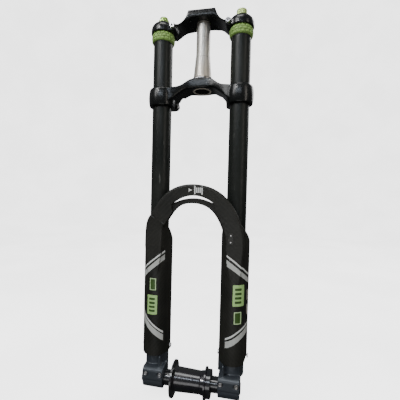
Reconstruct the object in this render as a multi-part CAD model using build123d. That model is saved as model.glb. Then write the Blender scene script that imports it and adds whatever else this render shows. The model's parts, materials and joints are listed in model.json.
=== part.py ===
from build123d import *
import os

os.makedirs("parts", exist_ok=True)

# Inverted twin-crown suspension fork for a downhill bicycle, millimetres.
# Origin: on the steerer axis, at the face of the lower crown that carries the crown race.
# +Z runs up the steerer, -Y is the front of the bicycle, +X is the rider's left.
# The damper leg is on -X and the air-spring leg on +X.

# ---- layout ----
LEG_X = 80.0          # leg axes, either side of the steerer
LEG_Y = -22.0         # leg axes, ahead of the steerer
AXLE_Y = -40.0        # axle, a further 18 ahead of the legs
AXLE_Z = -612.0
TRAVEL = 203.0

# ---- legs ----
OUTER_R = 19.5
OUTER_BORE_R = 18.0
OUTER_TOP_Z = 104.0
OUTER_LOW_Z = -335.0
SEAL_HOUSING_R = 21.5
INNER_R = 17.0
INNER_BORE_R = 15.0
INNER_TOP_Z = -190.0
INNER_LOW_Z = -590.0
RUNNING_GAP = 0.05    # radial clearance of every sliding or turning fit

# ---- crowns and steerer ----
STEERER_R = 14.3
STEERER_BORE_R = 12.2
STEERER_FOOT_R = 19.9
STEERER_FOOT_BORE_R = 15.2
STEERER_FOOT_Z = -20.0
STEERER_TOP_Z = 134.0
TAPER_LOW_Z = 8.0
TAPER_TOP_Z = 58.0
LOWER_CLAMP_R = 27.5
LOWER_CLAMP_Z = (-58.0, -21.0)
TOP_CLAMP_R = 25.0
TOP_CLAMP_LOW_Z = 90.5
TOP_CLAMP_DOME_Z = 113.0
CAP_OPENING_R = 12.4
BRIDGE_Z = (120.0, 134.0)
STEERER_BOLT_Z = 127.0
STEM_HOLE_R = 3.1
STEM_HOLE_SPACING = (50.8, 25.4)
STEM_PATTERN_Y = -6.0
BUMPER_R = 23.8
BUMPER_Z = (72.5, 90.5)
CAP_NECK_Z = 115.5

# ---- damper and air spring ----
CARTRIDGE_R = 12.5
CARTRIDGE_BORE_R = 11.5
CARTRIDGE_LOW_Z = -345.0
SPIGOT_LOW_Z = 70.0
ROD_R = 5.0
ROD_BORE_R = 2.2
ROD_LOW_Z = -606.0
PISTON_Z = (-322.0, -306.0)
SEAL_HEAD_Z = (-345.0, -335.0)
TOPOUT_Z = (-335.0, -322.5)

# ---- dropouts, axle and hub ----
HUB_GAP_X = 55.0      # half of the 110 mm hub width
DROPOUT_OUT_X = 97.0
AXLE_R = 10.0
AXLE_BORE_R = 7.5
JAW_R = 20.0
JAW_FRONT_Y = -61.0
COLLAR_R = 22.5
COLLAR_TOP_Z = -547.0
PINCH_X = (60.5, 90.5)
PINCH_Z = -597.0
FOOT_RECESS_R = 8.2
FOOT_RECESS_Z = -600.0
POST_X = 56.0
POST_Y = 10.0
POST_SPACING = 74.2
POST_MID_Z = -508.0
POST_HOLE_R = 2.5
HUB_HALF = 40.0
BEARING_R = 15.0
BEARING_X = (32.5, 39.5)
CAP_X = 40.4
DISC_PCD_R = 22.0

# ---- guards and arch ----
GUARD_HALF_W = 28.0
GUARD_DEPTH = 35.0
GUARD_WALL = 3.0
GUARD_FRONT_WALL = 5.0
GUARD_REAR_Y = -16.0
GUARD_LOW_Z = -562.0
ARCH_FRONT_Y = -63.0
CROWN_SWEEP_R = 29.4   # clear of the lower crown's clamps at full travel
GUARD_SCREW_Z = -555.0
GUARD_PAD_X = 24.4


def cyl_z(r, z0, z1, x=0.0, y=0.0):
    return Pos(x, y, (z0 + z1) / 2) * Cylinder(r, abs(z1 - z0))


def cyl_x(r, x0, x1, y, z):
    return Pos((x0 + x1) / 2, y, z) * Rot(0, 90, 0) * Cylinder(r, abs(x1 - x0))


def cyl_y(r, y0, y1, x, z):
    return Pos(x, (y0 + y1) / 2, z) * Rot(90, 0, 0) * Cylinder(r, abs(y1 - y0))


def block(x0, x1, y0, y1, z0, z1):
    centre = Pos((x0 + x1) / 2, (y0 + y1) / 2, (z0 + z1) / 2)
    return centre * Box(abs(x1 - x0), abs(y1 - y0), abs(z1 - z0))


def ring_z(r_out, r_in, z0, z1, x=0.0, y=0.0):
    return cyl_z(r_out, z0, z1, x, y) - cyl_z(r_in, z0 - 1, z1 + 1, x, y)


def front_view(edges, y0, y1):
    """A solid whose front view is the closed outline, from y0 back to y1."""
    face = make_face(edges)
    return Pos(0, y0, 0) * extrude(face, y1 - y0, dir=(0, 1, 0))


def turned_z(edges, x=0.0, y=0.0):
    """A turned part about a vertical axis; the outline is in radius and height."""
    return Pos(x, y, 0) * revolve(make_face(edges), Axis.Z)


def mirror_x(shape):
    return mirror(shape, about=Plane.YZ)


def outline(points):
    """A closed straight-sided outline in the XZ plane."""
    return Polyline(*[(x, 0, z) for x, z in points], close=True)


# ---------------------------------------------------------------- steerer and crowns

def steerer():
    outer = outline([
        (STEERER_BORE_R, STEERER_TOP_Z),
        (STEERER_R - 0.6, STEERER_TOP_Z),
        (STEERER_R, STEERER_TOP_Z - 0.6),
        (STEERER_R, TAPER_TOP_Z),
        (STEERER_FOOT_R - 1.1, TAPER_LOW_Z),
        (STEERER_FOOT_R, TAPER_LOW_Z - 2),
        (STEERER_FOOT_R, STEERER_FOOT_Z + 0.8),
        (STEERER_FOOT_R - 0.8, STEERER_FOOT_Z),
        (STEERER_FOOT_BORE_R + 1.2, STEERER_FOOT_Z),
        (STEERER_FOOT_BORE_R, STEERER_FOOT_Z + 1.2),
        (STEERER_FOOT_BORE_R, TAPER_LOW_Z),
        (STEERER_BORE_R, TAPER_TOP_Z),
    ])
    return turned_z(outer)


def crown_race():
    profile = outline([
        (STEERER_FOOT_R, 0.0),
        (25.8, 0.0),
        (25.8, 1.6),
        (21.6, 5.0),
        (STEERER_FOOT_R, 5.0),
    ])
    return turned_z(profile)


def lower_clamp():
    low, top = LOWER_CLAMP_Z
    edges = [
        Line((OUTER_R, 0, low), (LOWER_CLAMP_R - 2.0, 0, low)),
        ThreePointArc((LOWER_CLAMP_R - 2.0, 0, low), (LOWER_CLAMP_R, 0, -42), (LOWER_CLAMP_R - 1.6, 0, top - 3)),
        Line((LOWER_CLAMP_R - 1.6, 0, top - 3), (LOWER_CLAMP_R - 4.4, 0, top)),
        Line((LOWER_CLAMP_R - 4.4, 0, top), (OUTER_R, 0, top)),
        Line((OUTER_R, 0, top), (OUTER_R, 0, low)),
    ]
    return turned_z(edges, LEG_X, LEG_Y)


def lower_arm():
    """One arm of the lower crown, rising from its leg clamp to the steerer boss."""
    plan = [
        Spline((0, -25.5), (20, -26.5), (42, -35.5), (64, -43), (82, -41), tangents=[(1, 0), (1, 0.3)]),
        Line((82, -41), (82, -8)),
        Spline((82, -8), (62, 1), (40, 11), (20, 22), (0, 25.5), tangents=[(-1, 0.3), (-1, 0)]),
        Line((0, 25.5), (0, -25.5)),
    ]
    side = [
        Line((0, 0, 0), (15, 0, 0)),
        Spline((15, 0, 0), (27, 0, -5), (42, 0, -16.5), (60, 0, -22.5), (82, 0, -24), tangents=[(1, 0, 0), (1, 0, 0)]),
        Line((82, 0, -24), (82, 0, -54)),
        Spline((82, 0, -54), (60, 0, -48), (44, 0, -35), (30, 0, -23.5), (15, 0, -20), tangents=[(-1, 0, 0), (-1, 0, 0)]),
        Line((15, 0, -20), (0, 0, -20)),
        Line((0, 0, -20), (0, 0, 0)),
    ]
    return Pos(0, 0, -70) * extrude(make_face(plan), 80) & front_view(side, -60, 40)


def lower_crown():
    """Forged lower crown: steerer boss, two arms and two split leg clamps."""
    low, top = LOWER_CLAMP_Z
    half = lower_arm() + lower_clamp()
    half += block(LEG_X - 28, LEG_X + 10, LEG_Y + 18, LEG_Y + 38, low + 3, top - 4) & cyl_z(42, low, top, LEG_X, LEG_Y)
    half -= cyl_z(OUTER_R, low - 5, top + 25, LEG_X, LEG_Y)
    half -= block(LEG_X - 1, LEG_X + 1, LEG_Y + 15, LEG_Y + 45, low - 5, top + 5)
    for z in lower_bolt_heights():
        half -= cyl_x(3.1, LEG_X - 40, LEG_X + 30, LEG_Y + 30, z)
        half -= cyl_x(5.3, LEG_X - 40, LEG_X - 24, LEG_Y + 30, z)
    boss = cyl_z(25.5, -20, 0)
    body = half + mirror_x(half) + boss
    return body - cyl_z(STEERER_FOOT_R, -80, 20)


def lower_bolt_heights():
    low, top = LOWER_CLAMP_Z
    return (low + 10.5, top - 11.5)


def cap_screw(length, r=3.0, head_r=5.0, head_h=5.0, socket_r=2.3):
    """Socket-head cap screw standing on -Z, its head's seat on z = 0."""
    head = cyl_z(head_r, 0, head_h)
    head -= Pos(0, 0, head_h) * extrude(RegularPolygon(socket_r, 6), -head_h * 0.6)
    return head + cyl_z(r, -length, 0)


def lower_crown_bolts():
    solids = []
    for z in lower_bolt_heights():
        bolt = Pos(LEG_X - 24, LEG_Y + 30, z) * Rot(0, -90, 0) * cap_screw(32, 3.1)
        solids += [bolt, mirror_x(bolt)]
    return Compound(children=[s.solid() for s in solids])


def top_dome():
    """Domed clamp that closes over the top of an outer tube."""
    edges = [
        Line((OUTER_R, 0, TOP_CLAMP_LOW_Z), (TOP_CLAMP_R, 0, TOP_CLAMP_LOW_Z)),
        Line((TOP_CLAMP_R, 0, TOP_CLAMP_LOW_Z), (TOP_CLAMP_R, 0, 97)),
        ThreePointArc((TOP_CLAMP_R, 0, 97), (21.9, 0, 107.2), (14.0, 0, TOP_CLAMP_DOME_Z)),
        Line((14.0, 0, TOP_CLAMP_DOME_Z), (CAP_OPENING_R, 0, TOP_CLAMP_DOME_Z)),
        Line((CAP_OPENING_R, 0, TOP_CLAMP_DOME_Z), (CAP_OPENING_R, 0, OUTER_TOP_Z)),
        Line((CAP_OPENING_R, 0, OUTER_TOP_Z), (OUTER_R, 0, OUTER_TOP_Z)),
        Line((OUTER_R, 0, OUTER_TOP_Z), (OUTER_R, 0, TOP_CLAMP_LOW_Z)),
    ]
    return turned_z(edges, LEG_X, LEG_Y)


def top_arm():
    plan = [
        Line((0, -30), (28, -30)),
        Spline((28, -30), (44, -34), (62, -41.5), (80, -42), tangents=[(1, 0), (1, 0.2)]),
        Line((80, -42), (80, -4)),
        Spline((80, -4), (62, 0), (46, 11), (30, 23), (18, 26), tangents=[(-1, 0.1), (-1, 0)]),
        Line((18, 26), (0, 26)),
        Line((0, 26), (0, -30)),
    ]
    low, top = BRIDGE_Z
    clamp_low = TOP_CLAMP_LOW_Z
    side = [
        Line((0, 0, top), (28, 0, top)),
        Spline((28, 0, top), (34, 0, 120), (45, 0, 108), (60, 0, 101.5), (80, 0, 101),
               tangents=[(0.35, 0, -1), (1, 0, 0)]),
        Line((80, 0, 101), (80, 0, clamp_low)),
        Line((80, 0, clamp_low), (56, 0, clamp_low)),
        Spline((56, 0, clamp_low), (49, 0, 99.5), (40, 0, 110), (28, 0, 117.5), (16, 0, low),
               tangents=[(-0.4, 0, 1), (-1, 0, 0)]),
        Line((16, 0, low), (0, 0, low)),
        Line((0, 0, low), (0, 0, top)),
    ]
    return Pos(0, 0, 60) * extrude(make_face(plan), 100) & front_view(side, -60, 40)


def top_pinch_place():
    """Where each top clamp's pinch bolt sits: beside the tube, entering from the front."""
    return (LEG_X - 24.5, LEG_Y - 19.0, 98.0)


def top_crown():
    """Forged top crown: flat stem pad over the steerer, two arms and two domed clamps."""
    bx, by, bz = top_pinch_place()
    half = top_arm() + top_dome()
    half += cyl_y(6.8, by, by + 26, bx, bz)
    half -= cyl_z(OUTER_R, 60, OUTER_TOP_Z, LEG_X, LEG_Y)
    half -= cyl_z(CAP_OPENING_R, 60, 140, LEG_X, LEG_Y)
    half -= cyl_y(3.1, by - 2, by + 24, bx, bz)
    half -= block(LEG_X - 40, LEG_X - 15, LEG_Y - 13.5, LEG_Y - 12, 80, 108)
    body = half + mirror_x(half)
    body -= cyl_z(STEERER_R, 90, 150)
    body -= block(-1, 1, 10, 30, 100, 140)
    body -= cyl_x(3.1, -20, 20, 20.5, STEERER_BOLT_Z)
    body -= cyl_x(5.3, 14, 40, 20.5, STEERER_BOLT_Z)
    for dx in (-1, 1):
        for dy in (-1, 1):
            x = dx * STEM_HOLE_SPACING[0] / 2
            y = STEM_PATTERN_Y + dy * STEM_HOLE_SPACING[1] / 2
            body -= cyl_z(STEM_HOLE_R, 90, 150, x, y)
    return body


def top_crown_bolts():
    bx, by, bz = top_pinch_place()
    bolt = Pos(bx, by, bz) * Rot(90, 0, 0) * cap_screw(22, 3.1)
    return Compound(children=[bolt.solid(), mirror_x(bolt).solid()])


def steerer_pinch_bolt():
    return Pos(14, 20.5, STEERER_BOLT_Z) * Rot(0, 90, 0) * cap_screw(32, 3.1)


# ---------------------------------------------------------------- upper legs

def outer_tube():
    tube = cyl_z(OUTER_R, OUTER_LOW_Z, OUTER_TOP_Z, LEG_X, LEG_Y)
    tube += cyl_z(SEAL_HOUSING_R, OUTER_LOW_Z, OUTER_LOW_Z + 22, LEG_X, LEG_Y)
    return tube - cyl_z(OUTER_BORE_R, OUTER_LOW_Z - 1, OUTER_TOP_Z + 1, LEG_X, LEG_Y)


def bumper():
    """Rubber bump ring between the frame and the leg, under the top crown."""
    low, top = BUMPER_Z
    edges = [
        Line((OUTER_R, 0, low), (BUMPER_R - 2, 0, low)),
        ThreePointArc((BUMPER_R - 2, 0, low), (BUMPER_R, 0, (low + top) / 2), (BUMPER_R - 1, 0, top)),
        Line((BUMPER_R - 1, 0, top), (OUTER_R, 0, top)),
        Line((OUTER_R, 0, top), (OUTER_R, 0, low)),
    ]
    return turned_z(edges, LEG_X, LEG_Y)


def wiper():
    profile = outline([
        (INNER_R + RUNNING_GAP, OUTER_LOW_Z - 6),
        (INNER_R + 1.2, OUTER_LOW_Z - 7),
        (SEAL_HOUSING_R - 1, OUTER_LOW_Z - 4),
        (SEAL_HOUSING_R, OUTER_LOW_Z),
        (OUTER_BORE_R, OUTER_LOW_Z),
        (INNER_R + RUNNING_GAP, OUTER_LOW_Z),
    ])
    return turned_z(profile, LEG_X, LEG_Y)


def lower_bushing():
    return ring_z(OUTER_BORE_R, INNER_R + RUNNING_GAP, OUTER_LOW_Z + 4, OUTER_LOW_Z + 34, LEG_X, LEG_Y)


def upper_bushing():
    return ring_z(OUTER_BORE_R - RUNNING_GAP, INNER_R, INNER_TOP_Z - 28, INNER_TOP_Z - 2, LEG_X, LEG_Y)


def top_cap(bore_r):
    """Threaded plug in the outer tube, with a neck through the dome and a spigot below."""
    cap = cyl_z(OUTER_BORE_R, OUTER_TOP_Z - 14, OUTER_TOP_Z, LEG_X, LEG_Y)
    cap += cyl_z(CAP_OPENING_R - 0.4, OUTER_TOP_Z, CAP_NECK_Z, LEG_X, LEG_Y)
    cap += cyl_z(CARTRIDGE_BORE_R, SPIGOT_LOW_Z, OUTER_TOP_Z - 14, LEG_X, LEG_Y)
    return cap - cyl_z(bore_r, SPIGOT_LOW_Z - 1, 120, LEG_X, LEG_Y)


def cartridge():
    return ring_z(CARTRIDGE_R, CARTRIDGE_BORE_R, CARTRIDGE_LOW_Z, OUTER_TOP_Z - 14, LEG_X, LEG_Y)


def seal_head():
    return ring_z(CARTRIDGE_BORE_R, ROD_R + RUNNING_GAP, *SEAL_HEAD_Z, LEG_X, LEG_Y)


def topout_bumper():
    return ring_z(9.5, ROD_R + 0.6, *TOPOUT_Z, LEG_X, LEG_Y)


def air_valve():
    """Valve stem screwed into the air leg's cap."""
    stem = cyl_z(3.0, SPIGOT_LOW_Z, CAP_NECK_Z, LEG_X, LEG_Y)
    stem += cyl_z(3.9, CAP_NECK_Z, CAP_NECK_Z + 8, LEG_X, LEG_Y)
    return stem - cyl_z(1.6, CAP_NECK_Z + 1, CAP_NECK_Z + 10, LEG_X, LEG_Y)


# ---------------------------------------------------------------- knobs

def grip_ring(r, count, depth, z0, z1, x):
    """Round knob with shallow finger flutes."""
    knob = cyl_z(r, z0, z1, x, LEG_Y)
    for spot in PolarLocations(r + depth, count):
        knob -= Pos(x, LEG_Y, 0) * spot * cyl_z(depth * 1.9, z0 - 1, z1 + 1)
    return knob


def high_speed_knob():
    low = CAP_NECK_Z + 0.5
    return grip_ring(10.6, 14, 0.7, low, low + 5.2, -LEG_X) - cyl_z(4.6, low - 2, low + 8, -LEG_X, LEG_Y)


def low_speed_knob():
    low = CAP_NECK_Z + 6.2
    knob = grip_ring(8.4, 10, 0.6, low, low + 4.6, -LEG_X)
    return knob + cyl_z(3.0 - RUNNING_GAP, SPIGOT_LOW_Z + 4, low + 0.3, -LEG_X, LEG_Y)


def air_cap():
    """Domed dust cap over the air valve."""
    low = CAP_NECK_Z + 0.5
    shoulder_z = low + 7.5
    crown_z = low + 12.8
    r = 10.2
    ball_r = (r ** 2 + (crown_z - shoulder_z) ** 2) / (2 * (crown_z - shoulder_z))
    dome = Pos(LEG_X, LEG_Y, crown_z - ball_r) * Sphere(ball_r)
    cap = cyl_z(r, low, shoulder_z, LEG_X, LEG_Y)
    cap += dome & cyl_z(r, shoulder_z, crown_z + 1, LEG_X, LEG_Y)
    return cap - cyl_z(4.3, low - 1, low + 8.3, LEG_X, LEG_Y)


def foot_knob(sign):
    """Adjuster under a leg, its stem inside the hollow rod."""
    x = sign * LEG_X
    knob = grip_ring(7.4, 10, 0.5, -628.0, -608.0, x)
    return knob + cyl_z(ROD_BORE_R - RUNNING_GAP, -609, -575, x, LEG_Y)


# ---------------------------------------------------------------- lower legs

def inner_tube():
    return ring_z(INNER_R, INNER_BORE_R, INNER_LOW_Z, INNER_TOP_Z, LEG_X, LEG_Y)


def rod():
    shaft = cyl_z(ROD_R, ROD_LOW_Z, PISTON_Z[1] + 3, LEG_X, LEG_Y)
    return shaft - cyl_z(ROD_BORE_R, ROD_LOW_Z - 1, -570, LEG_X, LEG_Y)


def piston():
    body = ring_z(CARTRIDGE_BORE_R - RUNNING_GAP, ROD_R, *PISTON_Z, LEG_X, LEG_Y)
    for z in (PISTON_Z[0] + 5, PISTON_Z[1] - 5):
        body -= ring_z(CARTRIDGE_BORE_R + 1, CARTRIDGE_BORE_R - 1.2, z - 1, z + 1, LEG_X, LEG_Y)
    return body


def foot_nut():
    nut = Pos(LEG_X, LEG_Y, ROD_LOW_Z) * extrude(RegularPolygon(7.6, 6), FOOT_RECESS_Z - ROD_LOW_Z)
    return nut - cyl_z(ROD_R, ROD_LOW_Z - 1, FOOT_RECESS_Z + 1, LEG_X, LEG_Y)


def foot_nuts():
    nut = foot_nut()
    return Compound(children=[nut.solid(), mirror_x(nut).solid()])


def dropout_blank():
    """Dropout before its bores: axle jaw in front, tube collar behind."""
    side = Polyline(
        (0, JAW_FRONT_Y, AXLE_Z + 4), (0, JAW_FRONT_Y, PINCH_Z + 8), (0, JAW_FRONT_Y + 4, PINCH_Z + 10.5),
        (0, -47, PINCH_Z + 14), (0, -44.5, COLLAR_TOP_Z - 12), (0, -8, COLLAR_TOP_Z - 12), (0, -3, -590),
        (0, -3, AXLE_Z), (0, -14, AXLE_Z - 11), (0, -30, AXLE_Z - 15), (0, -55, AXLE_Z - 3), close=True)
    web = Pos(HUB_GAP_X, 0, 0) * extrude(make_face(side), DROPOUT_OUT_X - HUB_GAP_X, dir=(1, 0, 0))
    plan = Pos(LEG_X, LEG_Y, -640) * extrude(Circle(24.5), 110)
    front = block(HUB_GAP_X, DROPOUT_OUT_X, -70, AXLE_Y + 12, -640, PINCH_Z + 12)
    body = web & (plan + front)
    body += cyl_x(JAW_R, HUB_GAP_X, DROPOUT_OUT_X, AXLE_Y, AXLE_Z)
    mid_x = (HUB_GAP_X + DROPOUT_OUT_X) / 2
    body &= Pos(mid_x, -80, -597) * Rot(-90, 0, 0) * extrude(RectangleRounded(DROPOUT_OUT_X - HUB_GAP_X, 70, 7), 100)
    body += cyl_z(COLLAR_R, -592, COLLAR_TOP_Z, LEG_X, LEG_Y)
    body += cyl_x(5.5, LEG_X - GUARD_PAD_X, LEG_X + GUARD_PAD_X, LEG_Y, GUARD_SCREW_Z)
    body += block(62, 66, -55, -40, PINCH_Z + 8, COLLAR_TOP_Z - 17)
    return body


def brake_post():
    """Post-mount spine for a disc caliper, behind and inboard of the air leg."""
    low = POST_MID_Z - POST_SPACING / 2
    top = POST_MID_Z + POST_SPACING / 2
    side = Polyline(
        (0, -12, -600), (0, 2, -600), (0, POST_Y, low - 9), (0, POST_Y, low + 9), (0, POST_Y - 6, low + 14),
        (0, POST_Y - 6, top - 14), (0, POST_Y, top - 9), (0, POST_Y, top + 8), (0, -4, top + 8),
        (0, -5, low - 10), (0, -12, -575), close=True)
    return Pos(POST_X - 6.5, 0, 0) * extrude(make_face(side), 13, dir=(1, 0, 0))


def dropout(with_post):
    body = dropout_blank()
    if with_post:
        body += brake_post()
        for dz in (-POST_SPACING / 2, POST_SPACING / 2):
            body -= cyl_y(POST_HOLE_R, POST_Y - 12, POST_Y + 2, POST_X, POST_MID_Z + dz)
    body -= cyl_z(INNER_R, INNER_LOW_Z, COLLAR_TOP_Z + 20, LEG_X, LEG_Y)
    body -= cyl_z(ROD_R, -640, INNER_LOW_Z + 1, LEG_X, LEG_Y)
    body -= cyl_z(FOOT_RECESS_R, -645, FOOT_RECESS_Z, LEG_X, LEG_Y)
    body -= cyl_x(AXLE_R, HUB_GAP_X - 10, DROPOUT_OUT_X + 10, AXLE_Y, AXLE_Z)
    body -= block(HUB_GAP_X - 5, DROPOUT_OUT_X + 5, AXLE_Y - 1, AXLE_Y + 1, AXLE_Z, PINCH_Z + 8)
    body -= block(HUB_GAP_X - 5, DROPOUT_OUT_X + 5, JAW_FRONT_Y - 5, AXLE_Y + 1, PINCH_Z + 6, PINCH_Z + 8)
    for x in PINCH_X:
        body -= cyl_y(2.5, JAW_FRONT_Y - 2, -29, x, PINCH_Z)
        body -= cyl_y(4.7, JAW_FRONT_Y - 2, JAW_FRONT_Y + 4.5, x, PINCH_Z)
    body -= cyl_x(2.2, LEG_X - 30, LEG_X - 18, LEG_Y, GUARD_SCREW_Z)
    body -= cyl_x(2.2, LEG_X + 18, LEG_X + 30, LEG_Y, GUARD_SCREW_Z)
    return body


def axle_pinch_bolts():
    solids = []
    for x in PINCH_X:
        bolt = Pos(x, JAW_FRONT_Y + 4.5, PINCH_Z) * Rot(90, 0, 0) * cap_screw(26, 2.5, 4.3, 5.0, 2.0)
        solids += [bolt.solid(), mirror_x(bolt).solid()]
    return Compound(children=solids)


def shoulder_view():
    """Front view of a leg shell: straight outer side, shoulder sloping up under the arch."""
    side_x = LEG_X + GUARD_HALF_W
    in_x = LEG_X - GUARD_HALF_W
    shoulder = Spline((side_x, 0, -326), (98, 0, -301), (70, 0, -278), tangents=[(-0.15, 0, 1), (-1, 0, 0.3)])
    return [
        shoulder,
        Line((70, 0, -278), (in_x, 0, -274)),
        Line((in_x, 0, -274), (in_x, 0, GUARD_LOW_Z)),
        Line((in_x, 0, GUARD_LOW_Z), (side_x - 6, 0, GUARD_LOW_Z)),
        Line((side_x - 6, 0, GUARD_LOW_Z), (side_x, 0, GUARD_LOW_Z + 14)),
        Line((side_x, 0, GUARD_LOW_Z + 14), (side_x, 0, -326)),
    ]


def guard_room():
    """The hollow inside a leg shell."""
    room = Ellipse(GUARD_HALF_W - GUARD_WALL, GUARD_DEPTH - GUARD_FRONT_WALL)
    return Pos(LEG_X, LEG_Y, -600) * extrude(room, 400)


def guard_shell():
    """Half shell in front of one leg, open behind, its inner flank cut away toward the top."""
    outer = Pos(LEG_X, LEG_Y, -600) * extrude(Ellipse(GUARD_HALF_W, GUARD_DEPTH), 400)
    side = Polyline(
        (0, -70, GUARD_LOW_Z - 5), (0, GUARD_REAR_Y, GUARD_LOW_Z - 5), (0, GUARD_REAR_Y, -332),
        (0, -52.5, -284), (0, -52.5, -240), (0, -70, -240), close=True)
    flank = extrude(make_face(side), 150, dir=(1, 0, 0))
    return (outer - guard_room()) & flank & front_view(shoulder_view(), -80, 0)


def arch_limb():
    """Band that rises from the front of one leg, crosses over the wheel and comes down the other."""
    half_path = [(80, -53.5, -340), (70, -56.5, -286), (42, -57.2, -248)]
    points = half_path + [(0, -57.2, -235)] + [(-x, y, z) for x, y, z in reversed(half_path)]
    path = Spline(*points, tangents=[(0, 0, 1), (0, 0, -1)])
    place = Plane(origin=points[0], x_dir=(1, 0, 0), z_dir=(0, 0, 1))
    band_end = place * RectangleRounded(37, 11.6, 4.5)
    fairing_end = Plane(origin=(82, -52, -430), x_dir=(1, 0, 0), z_dir=(0, 0, 1)) * RectangleRounded(14, 4, 1.9)
    fairing = loft([fairing_end.face(), band_end.face()])
    return sweep(band_end, path=path) + fairing + mirror_x(fairing)


def arch_slot():
    """Lens-shaped opening between the arch's front band and its inner rib."""
    upper = ThreePointArc((-43, 0, -256), (0, 0, -238.5), (43, 0, -256))
    lower = ThreePointArc((43, 0, -256), (0, 0, -243.5), (-43, 0, -256))
    return front_view([upper, lower], -80, -40)


def rib_step():
    """Cut that sets the rib under the slot back from the arch's front face."""
    upper = ThreePointArc((-43, 0, -256), (0, 0, -241), (43, 0, -256))
    lower = ThreePointArc((43, 0, -256), (0, 0, -300), (-43, 0, -256))
    return front_view([upper, lower], ARCH_FRONT_Y - 5, ARCH_FRONT_Y + 5)


def guard_arch():
    """One-piece guards and arch, clear of the tubes and of the lower crown at full travel."""
    half = guard_shell()
    body = half + mirror_x(half) + arch_limb()
    body -= arch_slot()
    body -= rib_step()
    for sign in (-1, 1):
        room = guard_room() + cyl_z(CROWN_SWEEP_R, -280, -190, LEG_X, LEG_Y)
        for x in (LEG_X - 28, LEG_X + 28):
            room += cyl_x(2.5, x - 6, x + 6, LEG_Y, GUARD_SCREW_Z)
        body -= room if sign > 0 else mirror_x(room)
    return body


def guard_screws():
    solids = []
    for sign in (-1, 1):
        turn = Rot(0, 90 * sign, 0)
        screw = Pos(LEG_X + sign * GUARD_HALF_W, LEG_Y, GUARD_SCREW_Z) * turn * cap_screw(8, 2.2, 4.2, 2.4, 1.8)
        solids += [screw.solid(), mirror_x(screw).solid()]
    return Compound(children=solids)


# ---------------------------------------------------------------- axle and hub

def thru_axle():
    axle = cyl_x(AXLE_R, -DROPOUT_OUT_X, DROPOUT_OUT_X + 1.5, AXLE_Y, AXLE_Z)
    axle += cyl_x(13.0, -DROPOUT_OUT_X - 4, -DROPOUT_OUT_X, AXLE_Y, AXLE_Z)
    return axle - cyl_x(AXLE_BORE_R, -110, 110, AXLE_Y, AXLE_Z)


def hub_shell():
    """Disc hub shell, turned about the axle."""
    half = HUB_HALF
    edges = [
        (-half, BEARING_R), (-half, 18.0), (-38.5, 20.0), (-38.0, 34.0), (-34.5, 34.0), (-33.5, 25.0), (-31.0, 22.5),
        (19.0, 20.5), (21.0, 21.5), (27.0, 22.0), (28.0, 29.5), (31.0, 29.5), (32.0, 25.8), (half, 25.8),
        (half, BEARING_R), (BEARING_X[0], BEARING_R), (BEARING_X[0], 12.0), (-BEARING_X[0], 12.0),
        (-BEARING_X[0], BEARING_R),
    ]
    face = make_face(Polyline(*[(x, AXLE_Y, AXLE_Z + r) for x, r in edges], close=True))
    body = revolve(face, Axis((0, AXLE_Y, AXLE_Z), (1, 0, 0)))
    place = Pos(0, AXLE_Y, AXLE_Z) * Rot(0, 90, 0)
    for spot in PolarLocations(31.0, 16):
        body -= place * spot * cyl_z(1.3, -45, -30)
    for spot in PolarLocations(27.6, 16):
        body -= place * spot * cyl_z(1.1, 26, 35)
    for spot in PolarLocations(DISC_PCD_R, 6):
        body -= place * spot * cyl_z(2.1, HUB_HALF - 7, HUB_HALF + 5)
    return body


def hub_bearings():
    solids = []
    for sign in (-1, 1):
        x0 = sign * BEARING_X[0]
        x1 = sign * BEARING_X[1]
        ring = cyl_x(BEARING_R, x0, x1, AXLE_Y, AXLE_Z) - cyl_x(AXLE_R + RUNNING_GAP, x0 - 9, x1 + 9, AXLE_Y, AXLE_Z)
        solids.append(ring.solid())
    return Compound(children=solids)


def hub_end_caps():
    solids = []
    for sign in (-1, 1):
        cap = cyl_x(14.5, sign * CAP_X, sign * HUB_GAP_X, AXLE_Y, AXLE_Z)
        cap -= cyl_x(AXLE_R, -60, 60, AXLE_Y, AXLE_Z)
        solids.append(cap.solid())
    return Compound(children=solids)


# ---------------------------------------------------------------- export

def both_legs(name, shape):
    """The damper-side part on -X and the air-side part on +X."""
    return {name + "_damper": mirror_x(shape), name + "_air": shape}


parts = {
    "steerer": steerer(),
    "crown_race": crown_race(),
    "lower_crown": lower_crown(),
    "lower_crown_bolts": lower_crown_bolts(),
    "top_crown": top_crown(),
    "top_crown_bolts": top_crown_bolts(),
    "steerer_pinch_bolt": steerer_pinch_bolt(),
    "top_cap_damper": mirror_x(top_cap(3.0)),
    "top_cap_air": top_cap(3.0),
    "damper_cartridge": mirror_x(cartridge()),
    "air_cylinder": cartridge(),
    "air_valve": air_valve(),
    "high_speed_knob": high_speed_knob(),
    "low_speed_knob": low_speed_knob(),
    "air_cap": air_cap(),
    "rebound_knob": foot_knob(-1),
    "preload_knob": foot_knob(1),
    "damper_rod": mirror_x(rod()),
    "air_shaft": rod(),
    "damper_piston": mirror_x(piston()),
    "air_piston": piston(),
    "foot_nuts": foot_nuts(),
    "dropout_damper": mirror_x(dropout(False)),
    "dropout_air": dropout(True),
    "axle_pinch_bolts": axle_pinch_bolts(),
    "guard_arch": guard_arch(),
    "guard_screws": guard_screws(),
    "thru_axle": thru_axle(),
    "hub_shell": hub_shell(),
    "hub_bearings": hub_bearings(),
    "hub_end_caps": hub_end_caps(),
}
parts.update(both_legs("outer_tube", outer_tube()))
parts.update(both_legs("bumper", bumper()))
parts.update(both_legs("wiper", wiper()))
parts.update(both_legs("lower_bushing", lower_bushing()))
parts.update(both_legs("upper_bushing", upper_bushing()))
parts.update(both_legs("seal_head", seal_head()))
parts.update(both_legs("topout_bumper", topout_bumper()))
parts.update(both_legs("inner_tube", inner_tube()))

for node, shape in parts.items():
    export_step(shape, f"parts/{node}.step")
    print(node, len(shape.solids()), round(shape.volume))
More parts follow.
